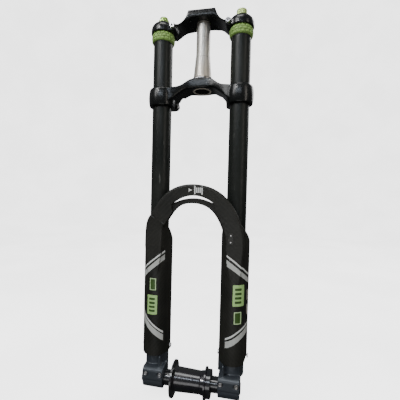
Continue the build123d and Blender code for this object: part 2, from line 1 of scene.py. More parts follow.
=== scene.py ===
import json
import math

import bmesh
import bpy
from mathutils import Matrix, Vector
from mathutils.bvhtree import BVHTree


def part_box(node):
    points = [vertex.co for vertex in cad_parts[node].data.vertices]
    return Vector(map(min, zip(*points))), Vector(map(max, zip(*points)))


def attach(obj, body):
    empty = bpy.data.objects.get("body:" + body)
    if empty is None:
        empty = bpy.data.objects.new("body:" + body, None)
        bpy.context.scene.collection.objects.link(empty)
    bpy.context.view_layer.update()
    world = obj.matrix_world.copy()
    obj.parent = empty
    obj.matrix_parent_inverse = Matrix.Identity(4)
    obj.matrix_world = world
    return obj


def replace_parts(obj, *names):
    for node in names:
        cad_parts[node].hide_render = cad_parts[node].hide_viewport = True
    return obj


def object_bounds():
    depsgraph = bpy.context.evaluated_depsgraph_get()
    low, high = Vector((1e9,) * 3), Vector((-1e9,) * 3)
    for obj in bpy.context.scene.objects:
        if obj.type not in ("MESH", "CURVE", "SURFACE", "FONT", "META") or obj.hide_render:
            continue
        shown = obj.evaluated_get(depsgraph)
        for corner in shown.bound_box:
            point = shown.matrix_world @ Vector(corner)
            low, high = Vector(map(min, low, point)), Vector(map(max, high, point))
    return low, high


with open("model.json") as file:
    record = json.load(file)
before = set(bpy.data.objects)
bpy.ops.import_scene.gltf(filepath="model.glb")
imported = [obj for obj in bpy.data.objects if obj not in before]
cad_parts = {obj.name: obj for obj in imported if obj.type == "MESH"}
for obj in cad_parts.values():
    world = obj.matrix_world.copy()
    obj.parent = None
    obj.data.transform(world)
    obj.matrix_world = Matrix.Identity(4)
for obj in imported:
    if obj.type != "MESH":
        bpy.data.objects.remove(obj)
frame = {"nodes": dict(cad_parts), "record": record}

# Inverted twin-crown fork, metres, in the CAD frame: -Y front, +X rider's left, +Z up the steerer.
CAD_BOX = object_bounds()
MM = 0.001
GUARD_HALF_W = 0.028                  # from a leg's axis to the side of its guard
FORGE_VOXEL = 0.0008                  # grid on which crowns and dropouts are rounded
KNOB_GAP = 0.0005                     # between the low-speed knob and the one it stands on
FOOT_GRIP, FOOT_STEM_R = 0.020, 0.00215
LOW_SPEED_STEM_R = 0.00295
HIGH_SPEED_BORE_R = 0.0046
CAP_BORE_R, CAP_BORE_DEPTH = 0.0044, 0.0083
M6_HEAD = (0.005, 0.005, 0.0023, 0.0031)   # head radius and height, socket, shank
M5_HEAD = (0.0043, 0.005, 0.0020, 0.0025)
M4_BUTTON = (0.0042, 0.0024, 0.0018, 0.0022)
FILM_STEP, FILM_ROW = 0.0012, 0.004   # a film's widest and tallest run between points that lie on the guard
FILM_PROUD, FILM_SINK = 0.00016, 0.0001
UPPER_FILM_PROUD = 0.00024            # a film that lies on another film
FLOOR_GAP = 0.0005
EYE = (0.1136, -0.5743, -0.2347)
LENS_MM = 24.75

leg_low, leg_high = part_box("outer_tube_air")
LEG_X = (leg_low[0] + leg_high[0]) / 2
LEG_Y = (leg_low[1] + leg_high[1]) / 2


# ---------------------------------------------------------------- node helpers

class Nodes:
    """Small builder for one material's node tree."""

    def __init__(self, name):
        self.material = bpy.data.materials.new(name)
        self.material.use_nodes = True
        self.tree = self.material.node_tree
        self.shader = self.tree.nodes["Principled BSDF"]
        self.place = self.add("ShaderNodeTexCoord").outputs["Object"]

    def add(self, kind, **settings):
        node = self.tree.nodes.new(kind)
        for key, value in settings.items():
            setattr(node, key, value)
        return node

    def feed(self, socket, value):
        if isinstance(value, bpy.types.NodeSocket):
            self.tree.links.new(value, socket)
        else:
            socket.default_value = value

    def set(self, **values):
        for key, value in values.items():
            self.shader.inputs[key.replace("_", " ")].default_value = value

    def math(self, operation, a, b=0.0, clamp=False):
        node = self.add("ShaderNodeMath", operation=operation, use_clamp=clamp)
        self.feed(node.inputs[0], a)
        self.feed(node.inputs[1], b)
        return node.outputs[0]

    def stretched(self, scale):
        node = self.add("ShaderNodeMapping")
        self.feed(node.inputs["Vector"], self.place)
        node.inputs["Scale"].default_value = scale
        return node.outputs[0]

    def noise(self, scale, detail=4.0, rough=0.5, where=None):
        node = self.add("ShaderNodeTexNoise")
        self.feed(node.inputs["Vector"], where or self.place)
        node.inputs["Scale"].default_value = scale
        node.inputs["Detail"].default_value = detail
        node.inputs["Roughness"].default_value = rough
        return node.outputs["Fac"]

    def ramp(self, value, low, high, start=0.0, end=1.0):
        node = self.add("ShaderNodeMapRange")
        self.feed(node.inputs["Value"], value)
        node.inputs["From Min"].default_value = low
        node.inputs["From Max"].default_value = high
        node.inputs["To Min"].default_value = start
        node.inputs["To Max"].default_value = end
        return node.outputs["Result"]

    def mix(self, factor, a, b):
        node = self.add("ShaderNodeMix", data_type="RGBA")
        self.feed(node.inputs["Factor"], factor)
        self.feed(node.inputs[6], a)
        self.feed(node.inputs[7], b)
        return node.outputs[2]

    def grooves(self, full):
        """How deep a point lies in a piece's cut relief, 0 to 1."""
        return self.ramp(self.add("ShaderNodeAttribute", attribute_name="groove").outputs["Fac"], 0.0, full)

    def axis(self, index):
        node = self.add("ShaderNodeSeparateXYZ")
        self.feed(node.inputs[0], self.place)
        return node.outputs[index]

    def colour(self, value):
        self.feed(self.shader.inputs["Base Color"], value)

    def roughness(self, value):
        self.feed(self.shader.inputs["Roughness"], value)

    def bump(self, height, distance, strength=1.0):
        node = self.add("ShaderNodeBump")
        node.inputs["Distance"].default_value = distance
        node.inputs["Strength"].default_value = strength
        self.feed(node.inputs["Height"], height)
        self.feed(self.shader.inputs["Normal"], node.outputs[0])


def rgba(r, g, b):
    return (r, g, b, 1.0)


# ---------------------------------------------------------------- materials

def painted_black(name, base, dust, rough, grain, metallic=0.0, gloss=0.22, worn_edge=0.0):
    """Dark coating: cloudy dulling, fine grain, sparse scratches down the part and rubbed sharp edges."""
    m = Nodes(name)
    cloud = m.ramp(m.noise(14, 5), 0.35, 0.7)
    scratch = m.noise(60, 6, 0.6, m.stretched((6, 6, 0.45)))
    marks = m.ramp(scratch, 0.68, 0.74)
    shade = m.mix(m.math("MULTIPLY", cloud, 0.5), base, dust)
    shade = m.mix(m.math("MULTIPLY", marks, 0.3), shade, rgba(0.3, 0.3, 0.28))
    if worn_edge:
        corner = m.ramp(m.add("ShaderNodeNewGeometry").outputs["Pointiness"], 0.56, 0.68)
        patchy = m.ramp(m.noise(90, 5, 0.6), 0.45, 0.62)
        rub = m.math("MULTIPLY", m.math("MULTIPLY", corner, patchy), worn_edge)
        shade = m.mix(rub, shade, rgba(0.34, 0.34, 0.35))
    m.colour(shade)
    fine = m.noise(grain, 3)
    level = m.math("ADD", m.ramp(fine, 0.3, 0.7, rough - 0.06, rough + 0.06), m.math("MULTIPLY", cloud, 0.08))
    m.roughness(level)
    m.bump(fine, 0.00004)
    m.set(Metallic=metallic, Specular_IOR_Level=gloss)
    return m.material


def turned_metal(name, base, tint, rough, lines=900.0, metallic=1.0):
    """Bare metal with fine rings round its length and a faint warm staining."""
    m = Nodes(name)
    rings = m.noise(1.0, 2, 0.5, m.stretched((20, 20, lines)))
    stain = m.ramp(m.noise(22, 5), 0.4, 0.7)
    m.colour(m.mix(m.math("MULTIPLY", stain, 0.55), base, tint))
    m.roughness(m.ramp(rings, 0.2, 0.8, rough - 0.05, rough + 0.09))
    m.bump(rings, 0.00002, 0.6)
    m.set(Metallic=metallic)
    return m.material


def steerer_metal():
    """Satin aluminium with turning rings, two scored lines, warm staining and painted shade inside its bore.
    """
    m = Nodes("steerer_alloy")
    rings = m.noise(1.0, 2, 0.5, m.stretched((20, 20, 900)))
    stain = m.ramp(m.noise(30, 5, 0.5, m.stretched((1, 1, 0.5))), 0.4, 0.68)
    metal = m.mix(m.math("MULTIPLY", stain, 0.6), rgba(0.60, 0.58, 0.54), rgba(0.50, 0.40, 0.27))
    height = m.axis(2)
    for z in (0.088, 0.0486):
        line = m.ramp(m.math("ABSOLUTE", m.math("SUBTRACT", height, z)), 0.0005, 0.0002)
        metal = m.mix(m.math("MULTIPLY", line, 0.6), metal, rgba(0.12, 0.10, 0.08))
    reach = m.math("SQRT", m.math("ADD", m.math("POWER", m.axis(0), 2.0), m.math("POWER", m.axis(1), 2.0)))
    # painted shade: the bore's inner wall, and its mouth below the crown, are coloured near black
    bore = m.math("MULTIPLY", m.ramp(reach, 0.0158, 0.0154), m.ramp(height, 0.02, -0.0185))
    bore_shade = m.math("MAXIMUM", m.ramp(reach, 0.0126, 0.0123), m.ramp(bore, 0.0, 0.3))
    m.colour(m.mix(bore_shade, metal, rgba(0.03, 0.028, 0.025)))
    m.roughness(m.ramp(rings, 0.2, 0.8, 0.33, 0.46))
    m.bump(rings, 0.00002, 0.6)
    m.set(Metallic=0.6)
    return m.material


def anodised(name, base, worn, rough=0.3):
    """Coloured anodising, worn on its high spots, with painted shade down in the grooves."""
    m = Nodes(name)
    wear = m.ramp(m.noise(240, 6, 0.65), 0.6, 0.72)
    unshaded_anodising = m.mix(m.math("MULTIPLY", wear, 0.6), base, worn)
    # painted shade: the deeper a groove, the darker its colour
    m.colour(m.mix(m.math("MULTIPLY", m.grooves(0.0006), 0.75), unshaded_anodising, rgba(0.05, 0.07, 0.02)))
    m.roughness(m.ramp(m.noise(500, 3), 0.3, 0.7, rough - 0.08, rough + 0.1))
    m.bump(m.noise(900, 2), 0.00003)
    m.set(Metallic=0.85)
    return m.material


def soft_rubber(name, base, grime_and_shade_colour, rough=0.6):
    """Matt rubber with grime on it, and painted shade down in the grooves."""
    m = Nodes(name)
    grime = m.ramp(m.noise(70, 6, 0.6), 0.42, 0.68)
    # random grime, plus painted shade that darkens the grooves by their depth
    grime_and_groove_shade = m.math("MAXIMUM", m.math("MULTIPLY", grime, 0.55), m.math("MULTIPLY", m.grooves(0.0009), 0.6))
    m.colour(m.mix(grime_and_groove_shade, base, grime_and_shade_colour))
    m.roughness(m.ramp(m.noise(300, 4), 0.3, 0.7, rough - 0.08, rough + 0.12))
    m.bump(m.noise(700, 4), 0.00008)
    m.set(Specular_IOR_Level=0.35)
    return m.material


def carbon_weave():
    """Twill weave of black tows under a dull, slightly scuffed clear coat."""
    m = Nodes("carbon_weave")
    tow = 1 / 0.0022
    side = m.math("ABSOLUTE", m.axis(0))
    ahead = m.math("MULTIPLY", m.math("ADD", m.axis(1), -LEG_Y), -1 / 0.035)
    out = m.math("MULTIPLY", m.math("SUBTRACT", side, LEG_X), 1 / GUARD_HALF_W)
    girth = m.math("MULTIPLY", m.math("ARCTAN2", out, ahead), 0.031)
    on_leg = m.ramp(m.axis(2), -0.255, -0.315)
    flat = m.math("SUBTRACT", side, LEG_X)
    round_leg = m.math("ADD", m.math("MULTIPLY", girth, on_leg),
                       m.math("MULTIPLY", flat, m.math("SUBTRACT", 1.0, on_leg)))
    across = m.math("MULTIPLY", round_leg, tow)
    along = m.math("MULTIPLY", m.axis(2), tow)
    diagonal = m.math("ADD", m.math("FLOOR", across), m.math("FLOOR", along))
    step = m.math("MODULO", m.math("ADD", diagonal, 4000.0), 4.0)
    warp = m.math("LESS_THAN", step, 1.5)
    crown_x = m.math("PINGPONG", across, 0.5)
    crown_z = m.math("PINGPONG", along, 0.5)
    height = m.add("ShaderNodeMix", data_type="FLOAT")
    m.feed(height.inputs[0], warp)
    m.feed(height.inputs[2], crown_z)
    m.feed(height.inputs[3], crown_x)
    dust = m.ramp(m.noise(9, 6, 0.55), 0.42, 0.72)
    tows = m.mix(warp, rgba(0.0125, 0.0125, 0.0105), rgba(0.0165, 0.0165, 0.0140))
    dirty = m.mix(m.math("MULTIPLY", dust, 0.55), tows, rgba(0.034, 0.033, 0.027))
    nick = m.ramp(m.noise(150, 7, 0.7, m.stretched((1, 1, 0.35))), 0.70, 0.75)
    m.colour(m.mix(m.math("MULTIPLY", nick, 0.35), dirty, rgba(0.25, 0.25, 0.23)))
    m.roughness(m.math("ADD", m.ramp(m.noise(260, 3), 0.3, 0.7, 0.36, 0.5), m.math("MULTIPLY", dust, 0.12)))
    m.bump(height.outputs[0], 0.00012, 0.5)
    m.set(Specular_IOR_Level=0.28)
    return m.material


def printed(name, base, worn, rough=0.42):
    """Printed film: an even colour, thinned where it has rubbed."""
    m = Nodes(name)
    rub = m.ramp(m.noise(180, 7, 0.7), 0.56, 0.7)
    m.colour(m.mix(m.math("MULTIPLY", rub, 0.5), base, worn))
    m.roughness(m.ramp(m.noise(400, 3), 0.3, 0.7, rough - 0.05, rough + 0.1))
    m.bump(m.noise(800, 2), 0.00002)
    return m.material


BLUE_GREY, BLUE_GREY_DUST = rgba(0.054, 0.064, 0.076), rgba(0.074, 0.080, 0.088)
tube_black = painted_black("tube_black", rgba(0.010, 0.012, 0.0105), rgba(0.022, 0.023, 0.019), 0.34, 420)
crown_black = painted_black("crown_black", rgba(0.006, 0.0075, 0.007), rgba(0.016, 0.016, 0.0135), 0.24, 700,
                            gloss=0.5)
dropout_black = painted_black("dropout_black", BLUE_GREY, BLUE_GREY_DUST, 0.32, 700, 0.4, 0.5)
crown_forged = painted_black("crown_forged", rgba(0.0035, 0.0045, 0.0042), rgba(0.009, 0.0095, 0.009),
                             0.22, 900, gloss=0.4)
dropout_forged = painted_black("dropout_forged", BLUE_GREY, BLUE_GREY_DUST, 0.32, 700, 0.4, 0.5, worn_edge=0.5)
hub_black = painted_black("hub_black", rgba(0.008, 0.009, 0.012), rgba(0.020, 0.019, 0.017), 0.12, 600,
                          gloss=0.8)
axle_black = painted_black("axle_black", rgba(0.016, 0.016, 0.017), rgba(0.03, 0.03, 0.03), 0.3, 600, 0.5)
steerer_alloy = steerer_metal()
inner_alloy = turned_metal("inner_alloy", rgba(0.56, 0.56, 0.57), rgba(0.42, 0.40, 0.36), 0.3)
race_steel = turned_metal("race_steel", rgba(0.36, 0.36, 0.38), rgba(0.25, 0.21, 0.16), 0.28)
bolt_steel = turned_metal("bolt_steel", rgba(0.66, 0.66, 0.68), rgba(0.42, 0.38, 0.32), 0.32, 300)
slider_coat = turned_metal("slider_coat", rgba(0.10, 0.10, 0.105), rgba(0.16, 0.15, 0.13), 0.16, 700, 0.9)
green_rubber = soft_rubber("green_rubber", rgba(0.33, 0.53, 0.14), rgba(0.10, 0.17, 0.04))
seal_rubber = soft_rubber("seal_rubber", rgba(0.020, 0.020, 0.020), rgba(0.05, 0.047, 0.04))
bushing_liner = soft_rubber("bushing_liner", rgba(0.26, 0.21, 0.14), rgba(0.14, 0.11, 0.07), 0.5)
green_anodised = anodised("green_anodised", rgba(0.40, 0.60, 0.16), rgba(0.70, 0.74, 0.55))
pale_anodised = anodised("pale_anodised", rgba(0.60, 0.76, 0.28), rgba(0.85, 0.88, 0.7), 0.38)
# painted reflection: a pale non-metal colour stands in for the bright polished chamfer round the steerer's
# mouth
lip_painted_reflection = printed("lip_painted_reflection", rgba(0.80, 0.74, 0.62), rgba(0.42, 0.36, 0.28), 0.36)
carbon = carbon_weave()
white_print = printed("white_print", rgba(0.74, 0.75, 0.72), rgba(0.34, 0.34, 0.31))
silver_print = printed("silver_print", rgba(0.52, 0.53, 0.50), rgba(0.26, 0.26, 0.24))
green_print = printed("green_print", rgba(0.38, 0.62, 0.22), rgba(0.16, 0.26, 0.08))
dark_green_print = printed("dark_green_print", rgba(0.035, 0.085, 0.012), rgba(0.02, 0.04, 0.01))
pale_green_print = printed("pale_green_print", rgba(0.50, 0.68, 0.36), rgba(0.2, 0.3, 0.12))
pale_print = printed("pale_print", rgba(0.50, 0.47, 0.42), rgba(0.2, 0.19, 0.17))
plate_grey = painted_black("plate_grey", rgba(0.030, 0.030, 0.028), rgba(0.05, 0.05, 0.045), 0.3, 900, 0.4)

BY_SLOT = {
    "tube_black": tube_black, "crown_black": crown_black, "bare_alloy": steerer_alloy,
    "race_steel": race_steel, "bolt_steel": bolt_steel, "green_rubber": green_rubber,
    "green_anodised": green_anodised, "carbon": carbon,
    "dropout_black": dropout_black, "chrome_tube": slider_coat, "seal_rubber": seal_rubber,
    "bushing": bushing_liner, "inner_alloy": inner_alloy, "hub_black": hub_black,
}
SPECIAL = {"thru_axle": axle_black, "air_cap": pale_anodised}


def dress_cad_nodes():
    """Every CAD node takes the finish of its material slot."""
    slots = {part["node"]: part["material_slot"] for part in frame["record"]["subparts"]}
    for name, node in frame["nodes"].items():
        node.data.materials.clear()
        node.data.materials.append(SPECIAL.get(name) or BY_SLOT[slots[name]])


# ---------------------------------------------------------------- mesh helpers

def make_piece(name, bm, material, body, crease):
    """One named object from a bmesh, riding on a body; edges sharper than crease degrees stay crisp."""
    bmesh.ops.recalc_face_normals(bm, faces=bm.faces)
    mesh = bpy.data.meshes.new(name)
    bm.to_mesh(mesh)
    bm.free()
    mesh.shade_smooth()
    mesh.set_sharp_from_angle(angle=math.radians(crease))
    mesh.materials.append(material)
    piece = bpy.data.objects.new(name, mesh)
    bpy.context.scene.collection.objects.link(piece)
    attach(piece, body)
    return piece


def lathe(bm, profile, centre, steps, relief=None, closed=False):
    """Turned form about a vertical axis; relief(angle, r, z) is taken off the radius.
    An open profile gets end caps."""
    cx, cy = centre
    depth = bm.verts.layers.float.new("groove")
    rings = []
    for r, z in profile:
        ring = []
        for k in range(steps):
            a = 2 * math.pi * k / steps
            cut = relief(a, r, z) if relief else 0.0
            rr = r - cut
            ring.append(bm.verts.new((cx + rr * math.cos(a), cy + rr * math.sin(a), z)))
            ring[-1][depth] = cut
        rings.append(ring)
    pairs = list(zip(rings, rings[1:]))
    if closed:
        pairs.append((rings[-1], rings[0]))
    for low, high in pairs:
        for k in range(steps):
            n = (k + 1) % steps
            bm.faces.new((low[k], low[n], high[n], high[k]))
    if not closed:
        bm.faces.new(rings[0])
        bm.faces.new(rings[-1])


def flutes(count, depth, low, high, fade):
    """Relief of rounded grooves round a knob, faded out toward its two rims."""
    def relief(a, r, z):
        edge = min(z - low, high - z) / fade
        if edge <= 0:
            return 0.0
        wave = 0.5 - 0.5 * math.cos(count * a)
        return depth * min(edge, 1.0) * wave ** 2
    return relief


def finer(profile, step):
    """The same profile with its long runs divided."""
    out = [profile[0]]
    for (r0, z0), (r1, z1) in zip(profile, profile[1:]):
        n = max(1, round(math.hypot(r1 - r0, z1 - z0) / step))
        out += [(r0 + (r1 - r0) * k / n, z0 + (z1 - z0) * k / n) for k in range(1, n + 1)]
    return out


def slab(bm, points, z0, z1):
    """A flat block with a closed outline in plan."""
    low = [bm.verts.new((x, y, z0)) for x, y in points]
    high = [bm.verts.new((x, y, z1)) for x, y in points]
    bm.faces.new(low)
    bm.faces.new(high)
    for k in range(len(points)):
        n = (k + 1) % len(points)
        bm.faces.new((low[k], low[n], high[n], high[k]))


def centre_of(node):
    low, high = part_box(node)
    return ((low[0] + high[0]) / 2, (low[1] + high[1]) / 2)


# ---------------------------------------------------------------- knobs, caps and bump rings

def bump_ring(side):
    """Rubber ring with raised lozenges in three staggered rows."""
    node = "bumper_" + side
    low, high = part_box(node)
    cx, cy = centre_of(node)
    outer = (high[0] - low[0]) / 2 - 0.0001
    bore = 0.01952
    z0, z1 = low[2], high[2]
    mid = (z0 + z1) / 2
    half = (z1 - z0) / 2

    def wall(z):
        t = (z - mid) / half
        return outer - 0.0016 * t * t - 0.0010 * abs(t) ** 8

    profile = [(bore, z0), (bore, z1), (wall(z1) - 0.0014, z1)]
    count = 44
    span = z1 - z0 - 0.0012
    profile += [(wall(z), z) for z in (z1 - 0.0006 - span * k / count for k in range(count + 1))]
    profile.append((wall(z0) - 0.0014, z0))

    def relief(a, r, z):
        if r < bore + 0.001 or z > z1 - 0.0012 or z < z0 + 0.0012:
            return 0.0
        row = (z - z0 - 0.0012) / (z1 - z0 - 0.0024) * 3.0
        turn = 16 * a / (2 * math.pi) + 0.5 * (int(min(row, 2.999)) % 2)
        across = abs(turn % 1.0 - 0.5) * 2
        along = abs(row % 1.0 - 0.5) * 2
        cell = max(across * 0.55 + along * 0.55, across, along)
        return 0.0009 * min(max((cell - 0.62) / 0.16, 0.0), 1.0)

    bm = bmesh.new()
    lathe(bm, profile, (cx, cy), 320, relief, closed=True)
    piece = make_piece("bump_ring_" + side, bm, green_rubber, "upper", 50)
    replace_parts(piece, node)


def fluted_knob(name, node, body, count, depth, mark, grip=None, stem=0.0, bore=0.0):
    """Knurled adjuster with chamfered rims, a dished face and a raised pointer.
    mark is +1 if its face is on top and -1 if it is underneath. grip is the height of the part that is
    turned, stem its spindle's radius and bore the radius of the hole in it."""
    low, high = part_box(node)
    cx, cy = centre_of(node)
    r = (high[0] - low[0]) / 2 - 0.00005
    face, far = (high[2], low[2]) if mark > 0 else (low[2], high[2])
    tall = grip or high[2] - low[2]
    back = face - mark * tall
    inward = -mark
    rim = min(0.0008, tall * 0.16)
    hole = bore or 0.0012
    profile = [(stem or hole, back), (r - rim, back), (r, back + mark * rim), (r, face + inward * rim),
               (r - rim, face), (r * 0.62, face), (r * 0.56, face + inward * 0.0007),
               (hole, face + inward * 0.0007)]
    profile = finer(profile, 0.0006)
    if stem:
        profile = [(stem - 0.0004, far), (stem, far + mark * 0.0004)] + profile
    grooves = flutes(count, depth, min(face, back) + rim * 0.8, max(face, back) - rim * 0.8, 0.0007)
    bm = bmesh.new()
    lathe(bm, profile, (cx, cy), count * 8,
          lambda a, rr, z: grooves(a, rr, z) if rr > r * 0.9 else 0.0, bool(bore))
    w = 0.0006
    bottom = face + inward * 0.0009
    start = bore + 0.0003 if bore else -r * 0.5
    bar = [(cx - w, cy - r * 0.55), (cx + w, cy - r * 0.55), (cx + w, cy - start), (cx - w, cy - start)]
    slab(bm, bar, min(bottom, face), max(bottom, face))
    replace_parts(make_piece(name, bm, green_anodised, body, 35), node)


def foot_lip():
    """Bare turned lip round the mouth of the steerer, under the lower crown; its pale colour is a painted
    reflection of the polished chamfer.
    """
    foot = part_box("steerer")[0][2]
    profile = [(0.0165, foot + 0.0006), (0.0165, foot - 0.0002), (0.0178, foot - 0.0004),
               (0.0189, foot - 0.0002), (0.0189, foot + 0.0006)]
    bm = bmesh.new()
    lathe(bm, profile, (0.0, 0.0), 128, closed=True)
    make_piece("steerer_foot_lip", bm, lip_painted_reflection, "upper", 35)


def domed_cap():
    """Air valve cap: grip flutes round the skirt and a shallow crowned top with a ring."""
    low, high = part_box("air_cap")
    centre = centre_of("air_cap")
    r = (high[0] - low[0]) / 2 - 0.00005
    z0, z1 = low[2], high[2]
    crown = 0.0032
    profile = [(CAP_BORE_R, z0 + CAP_BORE_DEPTH), (CAP_BORE_R, z0), (r - 0.0006, z0), (r, z0 + 0.0006),
               (r, z1 - crown - 0.0006)]
    profile = finer(profile, 0.0006)
    for k in range(13):
        t = k / 12
        turn = t * math.pi / 2
        profile.append((r * math.cos(turn) * 0.97 + 0.0003, z1 - crown + crown * math.sin(turn)))
    grooves = flutes(24, 0.00055, z0 + 0.001, z1 - crown - 0.0006, 0.0008)
    bm = bmesh.new()
    lathe(bm, profile, centre, 192, lambda a, rr, z: grooves(a, rr, z) if rr > r * 0.93 else 0.0)
    piece = make_piece("dust_cap", bm, pale_anodised, "valve_cap", 35)
    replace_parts(piece, "air_cap")


# ---------------------------------------------------------------- forged parts

def forged(name, node, material, body, rounds, soft=None):
    """The node's own shape with its edges rounded as a forging's are.
    soft(co), 0 to 1, says how freely a point is blended into its surroundings after that."""
    source = frame["nodes"][node]
    piece = bpy.data.objects.new(name, source.data.copy())
    bpy.context.scene.collection.objects.link(piece)
    low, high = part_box(node)
    remesh = piece.modifiers.new("remesh", "REMESH")
    remesh.mode = "VOXEL"
    remesh.voxel_size = FORGE_VOXEL
    smooth = piece.modifiers.new("smooth", "SMOOTH")
    smooth.factor = 0.5
    smooth.iterations = rounds
    graph = bpy.context.evaluated_depsgraph_get()
    graph.update()
    mesh = bpy.data.meshes.new_from_object(piece.evaluated_get(graph))
    piece.modifiers.clear()
    piece.data = mesh
    if soft:
        group = piece.vertex_groups.new(name="blend")
        for v in mesh.vertices:
            group.add([v.index], soft(v.co), "REPLACE")
        melt = piece.modifiers.new("melt", "SMOOTH")
        melt.factor = 0.5
        melt.iterations = 90
        melt.vertex_group = group.name
        graph.update()
        mesh = bpy.data.meshes.new_from_object(piece.evaluated_get(graph))
        piece.modifiers.clear()
        piece.vertex_groups.clear()
        piece.data = mesh
    for v in mesh.vertices:
        for i in range(3):
            v.co[i] = min(max(v.co[i], low[i]), high[i])
    mesh.shade_smooth()
    mesh.set_sharp_from_angle(angle=math.radians(55))
    mesh.materials.clear()
    mesh.materials.append(material)
    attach(piece, body)
    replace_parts(piece, node)


def crown_blend(keep_r, top):
    """How freely a crown's surface flows: fully on the arms and boss, not at all round its three bores."""
    def weight(co):
        arm = min(max((0.053 - abs(co[0])) / 0.010, 0.0), 1.0)
        boss = min(max((math.hypot(co[0], co[1]) - keep_r) / 0.006, 0.0), 1.0)
        pad = min(max((top - co[2]) / 0.004, 0.0), 1.0)
        return arm * boss * pad
    return weight


# ---------------------------------------------------------------- bolts

def screw(bm, seat, direction, head_r, head_h, socket_r, shank_r, length, knurl=30):
    """Socket-head screw: knurled head with a chamfered rim, hexagonal socket and a plain shank."""
    turn = Vector((0, 0, 1)).rotation_difference(Vector(direction)).to_matrix().to_4x4()
    place = Matrix.Translation(seat) @ turn
    steps = knurl * 4
    chamfer = head_h * 0.12
    profile = [(shank_r, -length), (shank_r, 0.0), (head_r, 0.0), (head_r, head_h * 0.8),
               (head_r - chamfer, head_h), (socket_r * 1.24, head_h), (socket_r * 1.1, head_h - 0.0003)]
    rings = []
    for r, z in profile:
        ring = []
        for k in range(steps):
            a = 2 * math.pi * k / steps
            rr = r
            if r == head_r and z > 0:
                rr = r - 0.00012 * (k % 4 == 2)
            ring.append(bm.verts.new(place @ Vector((rr * math.cos(a), rr * math.sin(a), z))))
        rings.append(ring)
    floor = []
    for depth in (head_h - 0.0003, head_h * 0.42):
        ring = []
        for k in range(steps):
            a = 2 * math.pi * k / steps
            within = (a % (math.pi / 3)) - math.pi / 6
            rr = socket_r * math.cos(math.pi / 6) / math.cos(within)
            ring.append(bm.verts.new(place @ Vector((rr * math.cos(a), rr * math.sin(a), depth))))
        floor.append(ring)
    rings += floor
    for low, high in zip(rings, rings[1:]):
        for k in range(steps):
            n = (k + 1) % steps
            bm.faces.new((low[k], low[n], high[n], high[k]))
    bm.faces.new(rings[0])
    bm.faces.new(rings[-1])


def bolt_set(name, node, body, screws):
    """All the screws of one node, as one piece."""
    bm = bmesh.new()
    for values in screws:
        screw(bm, *values)
    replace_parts(make_piece(name, bm, bolt_steel, body, 30), node)


def build_bolts():
    low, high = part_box("lower_crown_bolts")
    y = (low[1] + high[1]) / 2
    inner = 0.056
    rows = (low[2] + 0.005, high[2] - 0.005)
    bolt_set("lower_crown_screws", "lower_crown_bolts", "upper",
             [((s * inner, y, z), (-s, 0, 0), *M6_HEAD, 0.032) for s in (-1, 1) for z in rows])
    low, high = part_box("top_crown_bolts")
    z = (low[2] + high[2]) / 2
    x = high[0] - 0.005
    bolt_set("top_crown_screws", "top_crown_bolts", "upper",
             [((s * x, low[1] + 0.005, z), (0, -1, 0), *M6_HEAD, 0.022) for s in (-1, 1)])
    low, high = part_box("steerer_pinch_bolt")
    bolt_set("steerer_clamp_screw", "steerer_pinch_bolt", "upper",
             [((high[0] - 0.005, (low[1] + high[1]) / 2, (low[2] + high[2]) / 2), (1, 0, 0),
               *M6_HEAD, 0.032)])
    low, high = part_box("axle_pinch_bolts")
    z = (low[2] + high[2]) / 2
    places = (high[0] - 0.0043, high[0] - 0.0343)
    bolt_set("axle_clamp_screws", "axle_pinch_bolts", "lowers",
             [((s * x, low[1] + 0.005, z), (0, -1, 0), *M5_HEAD, 0.026)
              for s in (-1, 1) for x in places])
    low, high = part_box("guard_screws")
    z = (low[2] + high[2]) / 2
    y = (low[1] + high[1]) / 2
    spots = [(s * (LEG_X + t * GUARD_HALF_W), s * t) for s in (-1, 1) for t in (-1, 1)]
    bolt_set("guard_button_screws", "guard_screws", "lowers",
             [((x, y, z), (d, 0, 0), *M4_BUTTON, 0.008) for x, d in spots])


# ---------------------------------------------------------------- printed films on the guards

def guard_surface():
    """Search tree of the guard's skin, on which the films are laid."""
    node = frame["nodes"]["guard_arch"]
    mesh = node.data
    return BVHTree.FromPolygons([v.co.copy() for v in mesh.vertices], [p.vertices[:] for p in mesh.polygons])


def ribbon(top, bottom):
    """Closed outline between an upper and a lower edge, both given in the same x order (mm)."""
    return top + bottom[::-1]


def smooth_edge(points, per=8):
    """Catmull-Rom curve through the points."""
    out = []
    last = len(points) - 1
    for i in range(last):
        p0, p1, p2, p3 = (points[max(i - 1, 0)], points[i], points[i + 1], points[min(i + 2, last)])
        for k in range(per):
            t = k / per
            out.append(tuple(
                0.5 * (2 * b + (c - a) * t + (2 * a - 5 * b + 4 * c - d) * t * t
                       + (3 * b - a - 3 * c + d) * t ** 3)
                for a, b, c, d in zip(p0, p1, p2, p3)))
    return out + [points[-1]]


def leg_cuts():
    """X values that divide a leg shell's curved front into even steps."""
    cuts = []
    for sign in (-1, 1):
        cuts += [sign * LEG_X + GUARD_HALF_W * math.sin(math.radians(a)) for a in range(-84, 85, 6)]
    return cuts


